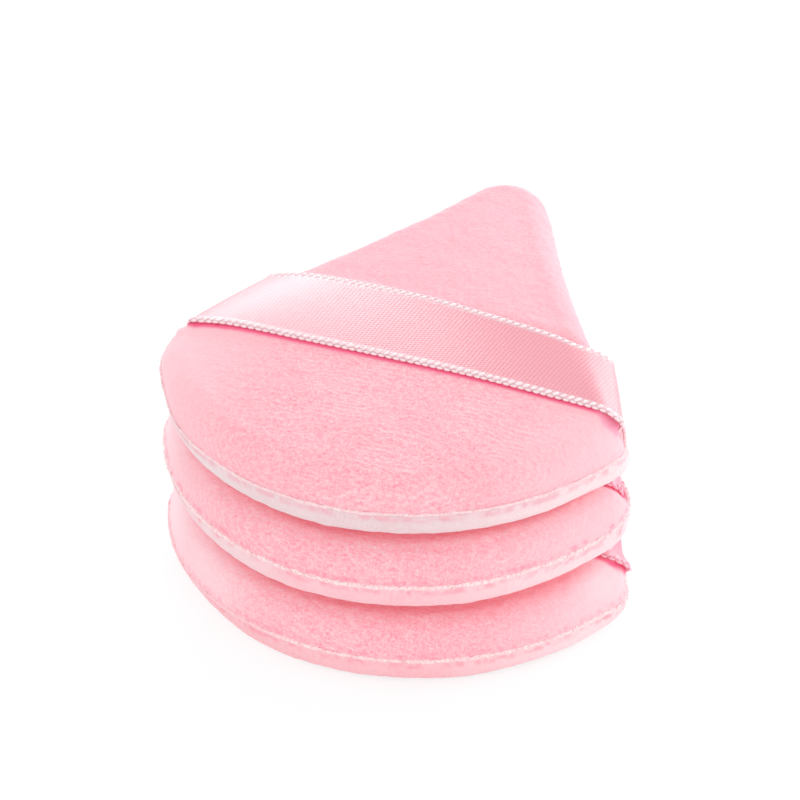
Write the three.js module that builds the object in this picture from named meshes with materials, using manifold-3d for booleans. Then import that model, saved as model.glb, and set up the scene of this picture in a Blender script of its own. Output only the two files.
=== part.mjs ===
// A set of three teardrop powder puffs, stacked. Each puff has a velour face, a pale side band,
// a velour back, a foam core, a line of seam thread round its rim and a satin finger strap
// whose two tails are tucked into the rim seam.
// Millimetres, +Z up, origin under the middle of the stack, tip towards +Y.

import * as THREE from 'three';
import { mergeVertices } from 'three/addons/utils/BufferGeometryUtils.js';
import Module from 'manifold-3d';

const wasm = await Module();
wasm.setup();

// Plan of one puff
const puffWidth = 70;
const puffLength = 80;
const cornerHeight = 26.8;
const cornerFaceRadius = 5.6;
const tipFaceRadius = 2.7;
const flankHollowRadius = 240;

// Section of one puff
const rimReach = 4.3;
const rimHeight = 5.5;
const crownRise = 0.35;
const coverThickness = 1.5;
const bandThickness = 1;
const bandSweep = THREE.MathUtils.degToRad(65);
const restCut = 0.5;

// Rim seam
const threadRadius = 0.35;
const threadProud = 0.2;

// Finger strap
const strapWidth = 16;
const strapThickness = 0.4;
const strapSetback = 0.4;
const strapTurn = THREE.MathUtils.degToRad(-1.5);
const topStrapSlack = 0.9;
const slotOverrun = 0.5;

// Stack
const clearance = 0.3;
const stackLean = 0.25;

// Finishes
const velour = { color: '#fcc3ca', roughness: 0.95, metalness: 0 };
const bandCloth = { color: '#f3dcdc', roughness: 0.9, metalness: 0 };
const thread = { color: '#f8e9e6', roughness: 0.85, metalness: 0 };
const satin = { color: '#f4bdc9', roughness: 0.35, metalness: 0 };
const foam = { color: '#fbf3ea', roughness: 1, metalness: 0 };

// Facets
const baseSteps = 14;
const cornerSteps = 6;
const flankSteps = 5;
const tipSteps = 8;
const threadSides = 6;
const shoulderSteps = 4;
const coverInsideSteps = 2;
const bandOutsideSteps = 3;
const bandInsideSteps = 2;
const backEdgeSteps = 1;
const coreSteps = 4;
const strapSpanSteps = 8;
const crownRingShare = 0.6;
const strapAcrossShares = [-1, -0.7, -0.4, 0.1, 1];

// Sizes that follow from the ones above
const cornerRadius = rimReach + cornerFaceRadius;
const tipRadius = rimReach + tipFaceRadius;
const cornerX = puffWidth / 2 - cornerRadius;
const cornerY = cornerHeight - puffLength / 2;
const baseRadius = (cornerX ** 2 + cornerHeight ** 2 - cornerRadius ** 2)
  / (2 * (cornerHeight - cornerRadius));
const baseY = baseRadius - puffLength / 2;
const tipY = puffLength / 2 - tipRadius;
const strapFrontY = cornerY + strapSetback;
const strapY = strapFrontY + strapWidth / 2;
const seamHalfGap = threadRadius + clearance;
const coreDepth = Math.max(coverThickness, bandThickness) + clearance;
const puffPitch = 2 * (rimHeight + crownRise + clearance) + strapThickness;
const bottomSeamHeight = rimHeight + crownRise - restCut;

// Outline

// The hollow flank is an arc that touches the tip's arc and the corner's arc from outside.
function flankCentre() {
  const toTip = flankHollowRadius + tipRadius;
  const toCorner = flankHollowRadius + cornerRadius;
  const span = Math.hypot(cornerX, tipY - cornerY);
  const along = (toTip ** 2 - toCorner ** 2 + span ** 2) / (2 * span);
  const aside = Math.sqrt(toTip ** 2 - along ** 2);
  const down = new THREE.Vector2(cornerX, cornerY - tipY).divideScalar(span);
  return new THREE.Vector2(
    down.x * along - down.y * aside,
    tipY + down.y * along + down.x * aside,
  );
}

const flank = flankCentre();
const flankAtTip = Math.atan2(tipY - flank.y, -flank.x);
const flankAtCorner = Math.atan2(cornerY - flank.y, cornerX - flank.x);
const tipStart = Math.atan2(flank.y - tipY, flank.x);
const cornerStart = Math.atan2(cornerY - baseY, cornerX);
const cornerEnd = Math.atan2(flank.y - cornerY, flank.x - cornerX);

// An arc of the outline. A hollow arc grows where a bulging one shrinks as the outline is inset.
function arc(x, y, radius, from, to, count, hollow = false) {
  return { x, y, radius, from, to, count, hollow };
}

function mirrored(a) {
  return arc(-a.x, a.y, a.radius, Math.PI - a.to, Math.PI - a.from, a.count, a.hollow);
}

function positive(angle) {
  return angle < 0 ? angle + 2 * Math.PI : angle;
}

const rightCorner = arc(cornerX, cornerY, cornerRadius, cornerStart, cornerEnd, cornerSteps);
const rightFlank = arc(
  flank.x, flank.y, flankHollowRadius,
  positive(flankAtCorner), positive(flankAtTip), flankSteps, true,
);
const tipArc = arc(0, tipY, tipRadius, tipStart, Math.PI - tipStart, tipSteps);
const baseArc = arc(0, baseY, baseRadius, -Math.PI - cornerStart, cornerStart, baseSteps);
const outlineArcs = [
  baseArc, rightCorner, rightFlank, tipArc, mirrored(rightFlank), mirrored(rightCorner),
];

// One turn round the puff, moved in from the widest outline by inset, at one height.
function outlineRing(inset, z) {
  const ring = [];
  for (const a of outlineArcs) {
    const radius = a.hollow ? a.radius + inset : a.radius - inset;
    for (let i = 0; i < a.count; i++) {
      const angle = a.from + (a.to - a.from) * (i / a.count);
      const x = a.x + radius * Math.cos(angle);
      const y = a.y + radius * Math.sin(angle);
      ring.push(new THREE.Vector3(x, y, z));
    }
  }
  return ring;
}

// Rounded rim, an upright half ellipse: depth is how far under the outer skin, and lift is the
// angle above the seam plane.
function rimInset(depth, lift) {
  return rimReach - (rimReach - depth) * Math.cos(lift);
}

function rimLevel(depth, lift) {
  return (rimHeight - depth) * Math.sin(lift);
}

function rimRing(depth, lift) {
  return outlineRing(rimInset(depth, lift), rimLevel(depth, lift));
}

// The angle at which the skin at a depth reaches a height above the seam plane.
function liftAt(depth, z) {
  return Math.asin(z / (rimHeight - depth));
}

// Crowned face inside the rim: share runs from 0 in the middle to 1 at the shoulder.
function faceRing(depth, share, side) {
  const z = side * (rimHeight - depth + crownRise * (1 - share ** 2));
  return outlineRing(rimReach, z).map((p) => p.set(
    p.x * share,
    strapFrontY + (p.y - strapFrontY) * share,
    z,
  ));
}

function faceMiddle(depth, side) {
  return new THREE.Vector3(0, strapFrontY, side * (rimHeight - depth + crownRise));
}

// Solids

// A closed mesh from points and triangles, turned so that its faces point out.
function closedGeometry(points, triangles) {
  let volume = 0;
  for (const [a, b, c] of triangles) {
    volume += points[a].dot(new THREE.Vector3().crossVectors(points[b], points[c]));
  }
  const facing = volume < 0 ? triangles.map(([a, b, c]) => [a, c, b]) : triangles;
  const geometry = new THREE.BufferGeometry();
  geometry.setAttribute(
    'position',
    new THREE.Float32BufferAttribute(points.flatMap((p) => p.toArray()), 3),
  );
  geometry.setIndex(facing.flat());
  geometry.computeVertexNormals();
  return geometry;
}

// The skin between rings of equal count. With closed, the last ring joins the first.
function skin(rings, closed) {
  const count = rings[0].length;
  const triangles = [];
  const bands = closed ? rings.length : rings.length - 1;
  for (let r = 0; r < bands; r++) {
    const low = r * count;
    const high = ((r + 1) % rings.length) * count;
    for (let i = 0; i < count; i++) {
      const next = (i + 1) % count;
      triangles.push([low + i, low + next, high + next], [low + i, high + next, high + i]);
    }
  }
  return triangles;
}

// Rings that start and end in a middle point.
function domedSolid(start, rings, end) {
  const points = [...rings.flat(), start, end];
  const triangles = skin(rings, false);
  const count = rings[0].length;
  const lastRing = (rings.length - 1) * count;
  for (let i = 0; i < count; i++) {
    const next = (i + 1) % count;
    triangles.push([points.length - 2, next, i]);
    triangles.push([points.length - 1, lastRing + i, lastRing + next]);
  }
  return closedGeometry(points, triangles);
}

// Rings that come round to where they started, as a tube does.
function hoopSolid(rings) {
  return closedGeometry(rings.flat(), skin(rings, true));
}

// Flat-ended strip: each section runs out along one side and back along the other.
function stripSolid(sections) {
  const triangles = skin(sections, false);
  const count = sections[0].length;
  const lastSection = (sections.length - 1) * count;
  for (let i = 0; i < count / 2 - 1; i++) {
    const back = count - 1 - i;
    triangles.push([i, back, i + 1], [i + 1, back, back - 1]);
    triangles.push(
      [lastSection + i, lastSection + i + 1, lastSection + back],
      [lastSection + i + 1, lastSection + back - 1, lastSection + back],
    );
  }
  return closedGeometry(sections.flat(), triangles);
}

function toManifold(geometry) {
  const bare = geometry.clone();
  bare.deleteAttribute('normal');
  const merged = mergeVertices(bare);
  return new wasm.Manifold(new wasm.Mesh({
    numProp: 3,
    vertProperties: new Float32Array(merged.attributes.position.array),
    triVerts: new Uint32Array(merged.index.array),
  }));
}

function cut(geometry, tools) {
  let solid = toManifold(geometry);
  for (const tool of tools) solid = solid.subtract(toManifold(tool));
  const mesh = solid.getMesh();
  const result = new THREE.BufferGeometry();
  result.setAttribute('position', new THREE.BufferAttribute(mesh.vertProperties, 3));
  result.setIndex(new THREE.BufferAttribute(mesh.triVerts, 1));
  result.computeVertexNormals();
  return result;
}

function steps(from, to, count) {
  return Array.from({ length: count + 1 }, (_, i) => from + (to - from) * (i / count));
}

// Finger strap

const underDepth = -clearance;
const overDepth = underDepth - strapThickness;
const tailLow = seamHalfGap;
const tailHigh = tailLow + strapThickness;
const tailInset = coverThickness - clearance;

// Half the puff's width at a height y in plan, on the outline moved in by inset.
function halfWidth(y, inset) {
  const radius = cornerRadius - inset;
  const up = y - cornerY;
  if (up < radius * Math.sin(cornerEnd)) return cornerX + Math.sqrt(radius ** 2 - up ** 2);
  return flank.x - Math.sqrt((flankHollowRadius + inset) ** 2 - (y - flank.y) ** 2);
}

// A point of the strap's end: side is -1 or 1, across is measured over the strap's width.
function endPoint(side, across, inset, z) {
  const square = strapY + across;
  const y = square + side * Math.tan(strapTurn) * halfWidth(square, 0);
  return new THREE.Vector3(side * halfWidth(y, inset), y, z);
}

// Points of one lengthwise line of the strap's end, from the tail's tip to the shoulder's top.
function endLine(side, across, depth, tailZ) {
  const line = [endPoint(side, across, tailInset, tailZ)];
  for (const lift of steps(liftAt(depth, tailZ), Math.PI / 2, shoulderSteps)) {
    line.push(endPoint(side, across, rimInset(depth, lift), rimLevel(depth, lift)));
  }
  return line;
}

// The line from tail to tail, over the crown in a low bow.
function strapLine(across, depth, tailZ, slack) {
  const left = endLine(-1, across, depth, tailZ);
  const right = endLine(1, across, depth, tailZ).reverse();
  const from = left[left.length - 1];
  const span = steps(-1, 1, strapSpanSteps).slice(1, -1).map((u) => {
    const point = from.clone().lerp(right[0], (u + 1) / 2);
    point.z += slack * (1 - u ** 2);
    return point;
  });
  return [...left, ...span, ...right];
}

function strap(slack) {
  const acrosses = strapAcrossShares.map((share) => share * strapWidth / 2);
  const over = acrosses.map((across) => strapLine(across, overDepth, tailLow, slack));
  const under = acrosses.map((across) => strapLine(across, underDepth, tailHigh, slack)).reverse();
  const sections = over[0].map((_, i) => [...over, ...under].map((line) => line[i]));
  return stripSolid(sections);
}

// The slot that a strap's tail passes through, in the lower edge of the face cover.
function tailSlot(side) {
  const low = tailLow - clearance;
  const high = tailHigh + clearance;
  const outer = -strapThickness - slotOverrun;
  const inner = coverThickness + slotOverrun;
  const reach = strapWidth / 2 + clearance;
  const sections = strapAcrossShares.map((share) => share * reach).map((across) => [
    endPoint(side, across, outer, low),
    endPoint(side, across, inner, low),
    endPoint(side, across, inner, high),
    endPoint(side, across, outer, high),
  ]);
  return stripSolid(sections);
}

// Pieces of one puff, about the middle of its seam plane

function faceCover() {
  const outerEdge = liftAt(0, seamHalfGap);
  const innerEdge = liftAt(coverThickness, seamHalfGap);
  const rings = [
    faceRing(0, crownRingShare, 1),
    ...steps(Math.PI / 2, outerEdge, shoulderSteps).map((lift) => rimRing(0, lift)),
    ...steps(innerEdge, Math.PI / 2, coverInsideSteps)
      .map((lift) => rimRing(coverThickness, lift)),
  ];
  const shell = domedSolid(faceMiddle(0, 1), rings, faceMiddle(coverThickness, 1));
  return cut(shell, [tailSlot(-1), tailSlot(1)]);
}

function sideBand() {
  const outerTop = liftAt(0, seamHalfGap);
  const innerTop = liftAt(bandThickness, seamHalfGap);
  return hoopSolid([
    ...steps(-outerTop, -bandSweep, bandOutsideSteps).map((lift) => rimRing(0, lift)),
    ...steps(-bandSweep, -innerTop, bandInsideSteps)
      .map((lift) => rimRing(bandThickness, lift)),
  ]);
}

// The back cover's edge keeps clear of the band. The lowest puff's is pressed flat where it rests.
function backCover(pressed) {
  const edge = -bandSweep - clearance / (rimReach - coverThickness);
  const floor = pressed ? -bottomSeamHeight : -Infinity;
  const outer = [
    faceRing(0, crownRingShare, -1),
    ...steps(-Math.PI / 2, edge, backEdgeSteps).map((lift) => rimRing(0, lift)),
  ];
  const inner = steps(edge, -Math.PI / 2, backEdgeSteps)
    .map((lift) => rimRing(coverThickness, lift));
  const middle = faceMiddle(0, -1);
  for (const p of [...outer.flat(), middle]) p.z = Math.max(p.z, floor);
  return domedSolid(middle, [...outer, ...inner], faceMiddle(coverThickness, -1));
}

function foamCore() {
  const rings = steps(Math.PI / 2, -Math.PI / 2, coreSteps)
    .map((lift) => rimRing(coreDepth, lift));
  return domedSolid(faceMiddle(coreDepth, 1), rings, faceMiddle(coreDepth, -1));
}

function seamThread() {
  const inset = threadRadius - threadProud;
  const turns = steps(0, 2 * Math.PI, threadSides).slice(0, -1);
  return hoopSolid(turns.map((turn) => outlineRing(
    inset - threadRadius * Math.cos(turn),
    threadRadius * Math.sin(turn),
  )));
}

function piece(name, geometry, finish) {
  const mesh = new THREE.Mesh(geometry, new THREE.MeshStandardMaterial(finish));
  mesh.name = name;
  return mesh;
}

function puff(name, pressed, slack) {
  const group = new THREE.Group();
  group.add(
    piece(`${name}_face_cover`, faceCover(), velour),
    piece(`${name}_side_band`, sideBand(), bandCloth),
    piece(`${name}_back_cover`, backCover(pressed), velour),
    piece(`${name}_foam_core`, foamCore(), foam),
    piece(`${name}_seam_thread`, seamThread(), thread),
    piece(`${name}_finger_strap`, strap(slack), satin),
  );
  return group;
}

// Assembly: each puff up the stack leans a little further to the left

const puffSet = new THREE.Group();
const levels = [
  { name: 'bottom_puff', level: 0, pressed: true, slack: crownRise },
  { name: 'middle_puff', level: 1, pressed: false, slack: crownRise },
  { name: 'top_puff', level: 2, pressed: false, slack: topStrapSlack },
];
for (const { name, level, pressed, slack } of levels) {
  const group = puff(name, pressed, slack);
  group.position.set(stackLean * (1 - level), 0, bottomSeamHeight + puffPitch * level);
  puffSet.add(group);
}

export default puffSet;
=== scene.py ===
import math

import bmesh
import bpy
import numpy as np
from mathutils import Matrix, Vector
from mathutils.bvhtree import BVHTree


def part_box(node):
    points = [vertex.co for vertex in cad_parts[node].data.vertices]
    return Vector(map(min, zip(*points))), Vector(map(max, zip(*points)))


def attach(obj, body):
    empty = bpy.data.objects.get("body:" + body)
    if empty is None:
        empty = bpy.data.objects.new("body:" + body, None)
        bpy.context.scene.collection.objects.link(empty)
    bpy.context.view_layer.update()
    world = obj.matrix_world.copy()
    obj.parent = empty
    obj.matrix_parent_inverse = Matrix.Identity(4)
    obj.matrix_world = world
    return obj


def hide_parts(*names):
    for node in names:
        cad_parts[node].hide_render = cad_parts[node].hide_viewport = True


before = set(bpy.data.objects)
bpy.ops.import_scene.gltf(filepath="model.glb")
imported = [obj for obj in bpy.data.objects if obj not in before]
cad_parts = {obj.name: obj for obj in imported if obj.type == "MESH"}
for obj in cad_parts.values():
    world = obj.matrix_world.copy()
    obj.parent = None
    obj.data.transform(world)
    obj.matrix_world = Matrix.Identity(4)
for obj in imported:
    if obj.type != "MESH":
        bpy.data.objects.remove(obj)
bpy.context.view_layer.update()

MM = 0.001
RANDOM = np.random.default_rng(4278)

# Sizes of one puff, as the frame has them
THREAD_PROUD = 0.2 * MM
CORNER_HEIGHT = 26.8 * MM
CORNER_FACE_RADIUS = 5.6 * MM
TIP_FACE_RADIUS = 2.7 * MM
FLANK_HOLLOW_RADIUS = 240 * MM
RIM_REACH = 4.3 * MM
RIM_HEIGHT = 5.5 * MM
CROWN_RISE = 0.35 * MM
COVER_THICKNESS = 1.5 * MM
BAND_SWEEP = math.radians(65)
BACK_EDGE_GAP = 0.3 * MM
PUFFS = ("bottom_puff", "middle_puff", "top_puff")

# Camera, from the photograph's outline
CAMERA_AZIMUTH = math.radians(21.57)
CAMERA_ELEVATION = math.radians(34.85)
CAMERA_ROLL = math.radians(0.805)
CAMERA_DISTANCE = 595 * MM
CAMERA_LENS = 186.75
CAMERA_SENSOR = 36
AIM_RIGHT = -3.48 * MM
AIM_UP = -7.51 * MM

# Mesh counts: points round the rim are eight times the grid count
ARC_POINTS = 400
FACE_GRID = 96
BACK_GRID = 48
CORE_GRID = 24
INSIDE_GRID = 12
RIM_STEPS = 24
BAND_STEPS = 20
STRAP_SPAN_STEPS = 12
STRAP_ACROSS_STEPS = 32


def by_puff(bottom, middle, top):
    return dict(zip(PUFFS, (bottom, middle, top)))


# Outline of one puff in plan

def puff_centre(puff):
    low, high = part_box(f"{puff}_seam_thread")
    return np.array((low + high) / 2)


def outline_arcs():
    """Centre, radius, start and end angle of each arc, from the middle of the base round by +X."""
    low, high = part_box("top_puff_seam_thread")
    width = high.x - low.x - 2 * THREAD_PROUD
    length = high.y - low.y - 2 * THREAD_PROUD
    corner = RIM_REACH + CORNER_FACE_RADIUS
    tip = RIM_REACH + TIP_FACE_RADIUS
    corner_x = width / 2 - corner
    corner_y = CORNER_HEIGHT - length / 2
    base = (corner_x ** 2 + CORNER_HEIGHT ** 2 - corner ** 2) / (2 * (CORNER_HEIGHT - corner))
    base_y = base - length / 2
    tip_y = length / 2 - tip
    to_tip = FLANK_HOLLOW_RADIUS + tip
    to_corner = FLANK_HOLLOW_RADIUS + corner
    span = math.hypot(corner_x, tip_y - corner_y)
    along = (to_tip ** 2 - to_corner ** 2 + span ** 2) / (2 * span)
    aside = math.sqrt(to_tip ** 2 - along ** 2)
    down = np.array([corner_x, corner_y - tip_y]) / span
    flank_x = down[0] * along - down[1] * aside
    flank_y = tip_y + down[1] * along + down[0] * aside
    corner_start = math.atan2(corner_y - base_y, corner_x)
    corner_end = math.atan2(flank_y - corner_y, flank_x - corner_x)
    tip_start = math.atan2(flank_y - tip_y, flank_x)
    flank_start = math.atan2(corner_y - flank_y, corner_x - flank_x) % math.tau
    flank_end = math.atan2(tip_y - flank_y, -flank_x) % math.tau
    right = [
        (0, base_y, base, -math.pi / 2, corner_start, 1),
        (corner_x, corner_y, corner, corner_start, corner_end, 1),
        (flank_x, flank_y, FLANK_HOLLOW_RADIUS, flank_start, flank_end, -1),
        (0, tip_y, tip, tip_start, math.pi / 2, 1),
    ]
    left = [
        (-x, y, r, math.pi - end, math.pi - start, side)
        for x, y, r, start, end, side in reversed(right)
    ]
    return right + left


def distances(points):
    """The distance of each point along a line, from its start."""
    steps = np.linalg.norm(np.diff(points, axis=0), axis=1)
    return np.concatenate([[0], np.cumsum(steps)])


def read_along(where, along, values):
    """Values at distances along a line, from those at its points."""
    return np.stack([np.interp(where, along, column) for column in values.T], -1)


def trace_outline():
    """Dense points and outward normals along the outline, and the distance along it."""
    points, normals = [], []
    for x, y, radius, start, end, side in outline_arcs():
        angle = np.linspace(start, end, ARC_POINTS, endpoint=False)
        turn = np.stack([np.cos(angle), np.sin(angle)], 1)
        points.append(np.array([x, y]) + radius * turn)
        normals.append(side * turn)
    points = np.vstack(points + [points[0][:1]])
    normals = np.vstack(normals + [normals[0][:1]])
    return points, normals, distances(points)


OUTLINE, OUTWARD, ALONG = trace_outline()
PERIMETER = ALONG[-1]


def at_share(share):
    """Points and outward normals of the outline at shares of the way round."""
    where = (np.asarray(share) % 1) * PERIMETER
    normal = read_along(where, ALONG, OUTWARD)
    normal /= np.linalg.norm(normal, axis=1, keepdims=True)
    return read_along(where, ALONG, OUTLINE), normal


# Section of one puff: a half ellipse round the rim

def rim_ring(count, depth, lift):
    """A ring at a depth inside the rim, and at an angle up round its section from the seam."""
    point, normal = at_share(np.arange(count) / count)
    inset = RIM_REACH - (RIM_REACH - depth) * np.cos(lift)
    level = np.full((count, 1), (RIM_HEIGHT - depth) * np.sin(lift))
    return np.hstack([point - inset * normal, level])


# Meshes

def grid_quads(ids):
    return np.stack([ids[:-1, :-1], ids[1:, :-1], ids[1:, 1:], ids[:-1, 1:]], -1).reshape(-1, 4)


def grid_shares(half):
    """For a square grid of rings: each point's ring as a share and its place round the ring, the
    ids of the outermost ring in order, and the quads."""
    i, j = np.mgrid[-half:half + 1, -half:half + 1]
    ring = np.maximum(abs(i), abs(j))
    step = np.select(
        [(j == -ring) & (i >= 0), i == ring, j == ring, i == -ring],
        [i, 2 * ring + j, 4 * ring - i, 6 * ring - j],
        8 * ring + i,
    )
    place = step / np.maximum(8 * ring, 1)
    ids = np.arange(i.size).reshape(i.shape)
    outer = ids[ring == half]
    outer = outer[np.argsort(step[ring == half])]
    return (ring / half).ravel(), place.ravel(), outer, grid_quads(ids)


FACE_FOCUS = np.array([0, -8 * MM])
CROWN_FLATNESS = 6
FACE_CROWN = by_puff(0.5 * MM, 0.5 * MM, 1 * MM)


def face_patch(half, depth, side, crown=CROWN_RISE):
    """The crowned face inside the rim, on a grid: points, outermost ring's ids and quads."""
    share, place, outer, quads = grid_shares(half)
    point, normal = at_share(place)
    shoulder = point - RIM_REACH * normal
    plan = FACE_FOCUS + (shoulder - FACE_FOCUS) * share[:, None]
    level = side * (RIM_HEIGHT - depth + crown * (1 - share ** CROWN_FLATNESS) ** 2)
    return np.hstack([plan, level[:, None]]), outer, quads


def bridge(low, high):
    """Quads between two rings of the same count."""
    return np.stack([low, np.roll(low, -1), np.roll(high, -1), high], 1)


def thin_out(fine, coarse):
    """Triangles between a ring and one with a whole fraction of its count."""
    ratio = len(fine) // len(coarse)
    triangles = []
    for k, hub in enumerate(coarse):
        fan = [fine[(k * ratio + s) % len(fine)] for s in range(ratio + 1)]
        triangles += [(hub, a, b) for a, b in zip(fan, fan[1:])]
        triangles.append((hub, fan[-1], coarse[(k + 1) % len(coarse)]))
    return np.array(triangles)


UP = np.array([0, 0, 1])


def unit(vector):
    return vector / np.linalg.norm(vector)


def ring_round(centre, aside, up, sides):
    """A ring of points about a centre, with aside and up as its half axes."""
    turn = np.arange(sides) / sides * math.tau
    return centre + np.outer(np.cos(turn), aside) + np.outer(np.sin(turn), up)


class Shape:
    """Points and faces that are gathered before a mesh is made."""

    def __init__(self):
        self.points, self.faces, self.count = [], [], 0

    def add(self, points):
        start = self.count
        self.points.append(points)
        self.count += len(points)
        return np.arange(start, self.count)

    def skin(self, faces):
        self.faces.append(np.asarray(faces))

    def patch(self, points, outer, quads):
        ids = self.add(points)
        self.skin(ids[quads])
        return ids[outer]

    def loft(self, rings, first=None):
        """Joins rings in turn, from the ids of a ring that is there already if given."""
        last = first
        for ring in rings:
            ids = self.add(ring)
            if last is not None:
                self.skin(bridge(last, ids))
            last = ids
        return last

    def hoop(self, rings):
        """Joins rings in turn, and the last one to the first."""
        first = self.add(rings[0])
        self.skin(bridge(self.loft(rings[1:], first), first))

    def mesh(self, name):
        """A mesh of the shape, which is closed, with every face turned outwards."""
        points = np.vstack(self.points)
        sizes = np.concatenate([np.full(len(f), f.shape[1]) for f in self.faces])
        loops = np.concatenate([f.ravel() for f in self.faces])
        mesh = bpy.data.meshes.new(name)
        mesh.vertices.add(len(points))
        mesh.vertices.foreach_set("co", points.astype(np.float32).ravel())
        mesh.loops.add(len(loops))
        mesh.loops.foreach_set("vertex_index", loops.astype(np.int32))
        mesh.polygons.add(len(sizes))
        mesh.polygons.foreach_set("loop_start", (np.cumsum(sizes) - sizes).astype(np.int32))
        mesh.update(calc_edges=True)
        mesh.validate()
        turned = bmesh.new()
        turned.from_mesh(mesh)
        bmesh.ops.recalc_face_normals(turned, faces=turned.faces)
        turned.to_mesh(mesh)
        turned.free()
        return mesh


def read_vectors(items, key):
    values = np.zeros(len(items) * 3, np.float32)
    items.foreach_get(key, values)
    return values.reshape(-1, 3).astype(float)


def mesh_points(mesh):
    return read_vectors(mesh.vertices, "co")


def mesh_normals(mesh):
    return read_vectors(mesh.vertex_normals, "vector")


def move_points(mesh, points):
    mesh.vertices.foreach_set("co", points.astype(np.float32).ravel())
    mesh.update()


def mark(mesh, name, values):
    """Keeps a value for each point, for the material to use."""
    layer = mesh.attributes.new(name, "FLOAT", "POINT")
    layer.data.foreach_set("value", values.astype(np.float32))


def new_object(name, data):
    thing = bpy.data.objects.new(name, data)
    bpy.context.scene.collection.objects.link(thing)
    return thing


def place_piece(mesh, puff, node, material):
    """Puts a piece on its puff, in place of the CAD node if one is named."""
    mesh.transform(Matrix.Translation(Vector(puff_centre(puff))))
    mesh.materials.append(material)
    mesh.shade_smooth()
    piece = new_object(mesh.name, mesh)
    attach(piece, puff)
    if node:
        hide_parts(f"{puff}_{node}")
    return piece


# Noise

HASH_STEPS = (73856093, 19349663, 83492791)
HASH_STIR = 2654435761
HASH_MASK = 0xFFFFFFFF


def cell_value(cell, seed):
    """A steady random number from -1 to 1 for each cell of a lattice."""
    mixed = sum(cell[:, k] * HASH_STEPS[k] for k in range(3)) + seed * HASH_STIR
    mixed = (mixed ^ (mixed >> 13)) & HASH_MASK
    mixed = (mixed * HASH_STIR) & HASH_MASK
    mixed = (mixed ^ (mixed >> 15)) & HASH_MASK
    return mixed / HASH_MASK * 2 - 1


def noise(points, size, seed):
    """Smooth noise from -1 to 1 whose lumps are about size across. Size may differ by axis."""
    spot = points / np.asarray(size)
    cell = np.floor(spot).astype(np.int64)
    blend = spot - cell
    blend = blend * blend * (3 - 2 * blend)
    total = np.zeros(len(points))
    for corner in np.ndindex(2, 2, 2):
        weight = np.prod(np.where(corner, blend, 1 - blend), axis=1)
        total += weight * cell_value(cell + np.array(corner), seed)
    return total


# Materials

# Names of the marks kept on the meshes, which the materials paint as light or shade
PAINTED_SHADE = "hollows"
LOWER_EDGE_SHEEN = "lower_edge_sheen"
PAINTED_LIGHT = "painted_light"
FOLD_SHADE = "fold_shade"
ROWS_PER_UNIT = 2 * math.pi / 20


class Nodes:
    """Makes a material, or the world, and builds its node tree."""

    def __init__(self, name, store=None, shader="Principled BSDF"):
        self.owner = (bpy.data.materials if store is None else store).new(name)
        self.owner.use_nodes = True
        self.tree = self.owner.node_tree
        self.shader = self.tree.nodes[shader]

    def put(self, socket, value):
        """Links a value that comes from another node, and sets any other."""
        if isinstance(value, bpy.types.NodeSocket):
            self.tree.links.new(value, socket)
        else:
            socket.default_value = value

    def add(self, kind, sockets=None, **settings):
        """A shader node with its settings, and with values for its sockets by name or number."""
        node = self.tree.nodes.new("ShaderNode" + kind)
        for key, value in settings.items():
            setattr(node, key, value)
        for key, value in (sockets or {}).items():
            self.put(node.inputs[key], value)
        return node

    def set(self, **values):
        """Values for the shader's own sockets, with underscores for spaces."""
        for key, value in values.items():
            self.put(self.shader.inputs[key.replace("_", " ")], value)

    def place(self, output="Object"):
        return self.add("TexCoord").outputs[output]

    def camera_ray(self):
        return self.add("LightPath").outputs["Is Camera Ray"]

    def part(self, vector, axis):
        return self.add("SeparateXYZ", {"Vector": vector}).outputs[axis]

    def scaled(self, vector, size, turn=(0, 0, 0)):
        """Coordinates in which one unit is size metres."""
        size = size if isinstance(size, tuple) else (size,) * 3
        sockets = {"Vector": vector, "Rotation": turn, "Scale": tuple(1 / s for s in size)}
        return self.add("Mapping", sockets).outputs["Vector"]

    def noise(self, vector, size, detail=2, roughness=0.5, output="Fac"):
        vector = self.scaled(vector, size)
        sockets = {"Vector": vector, "Scale": 1, "Detail": detail, "Roughness": roughness}
        return self.add("TexNoise", sockets).outputs[output]

    def math(self, operation, *values):
        node = self.add("Math", dict(enumerate(values)), operation=operation)
        return node.outputs["Value"]

    def vector(self, operation, *values, output="Vector"):
        node = self.add("VectorMath", dict(enumerate(values)), operation=operation)
        return node.outputs[output]

    def span(self, value, low, high, to_low=0, to_high=1):
        sockets = {"Value": value, "From Min": low, "From Max": high,
                   "To Min": to_low, "To Max": to_high}
        return self.add("MapRange", sockets).outputs["Result"]

    def mix(self, factor, a, b):
        return self.add("Mix", {0: factor, 6: a, 7: b}, data_type="RGBA").outputs[2]

    def marked(self, colour, name, tint):
        """A colour that turns to the tint by the share marked on the mesh."""
        share = self.add("Attribute", attribute_name=name).outputs["Fac"]
        return self.mix(share, colour, tint)

    def waves(self, vector, pitch, waver, turn=(0, 0, 0), detail=0):
        """Rows one pitch apart along the turned X axis, as a smooth wave from 0 to 1."""
        sockets = {"Vector": self.scaled(vector, pitch, turn), "Scale": ROWS_PER_UNIT,
                   "Distortion": waver, "Detail": detail, "Detail Scale": 1}
        node = self.add("TexWave", sockets, wave_type="BANDS", bands_direction="X",
                        wave_profile="SIN")
        return node.outputs["Fac"]

    def weighted(self, *layers):
        """A weighted sum of layers, each given as value, low, high and weight."""
        total = 0
        for value, low, high, weight in layers:
            total = self.math("ADD", self.span(value, low, high, 0, weight), total)
        return total

    def swirled(self, vector, size, amount):
        """Coordinates that wander by up to half the amount, in swirls about size across."""
        drift = self.noise(vector, size, detail=1, output="Color")
        return self.vector("MULTIPLY_ADD", drift, (amount,) * 3, vector)

    def bump(self, height, distance, strength=1):
        sockets = {"Height": height, "Distance": distance, "Strength": strength}
        return self.add("Bump", sockets).outputs["Normal"]


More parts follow.
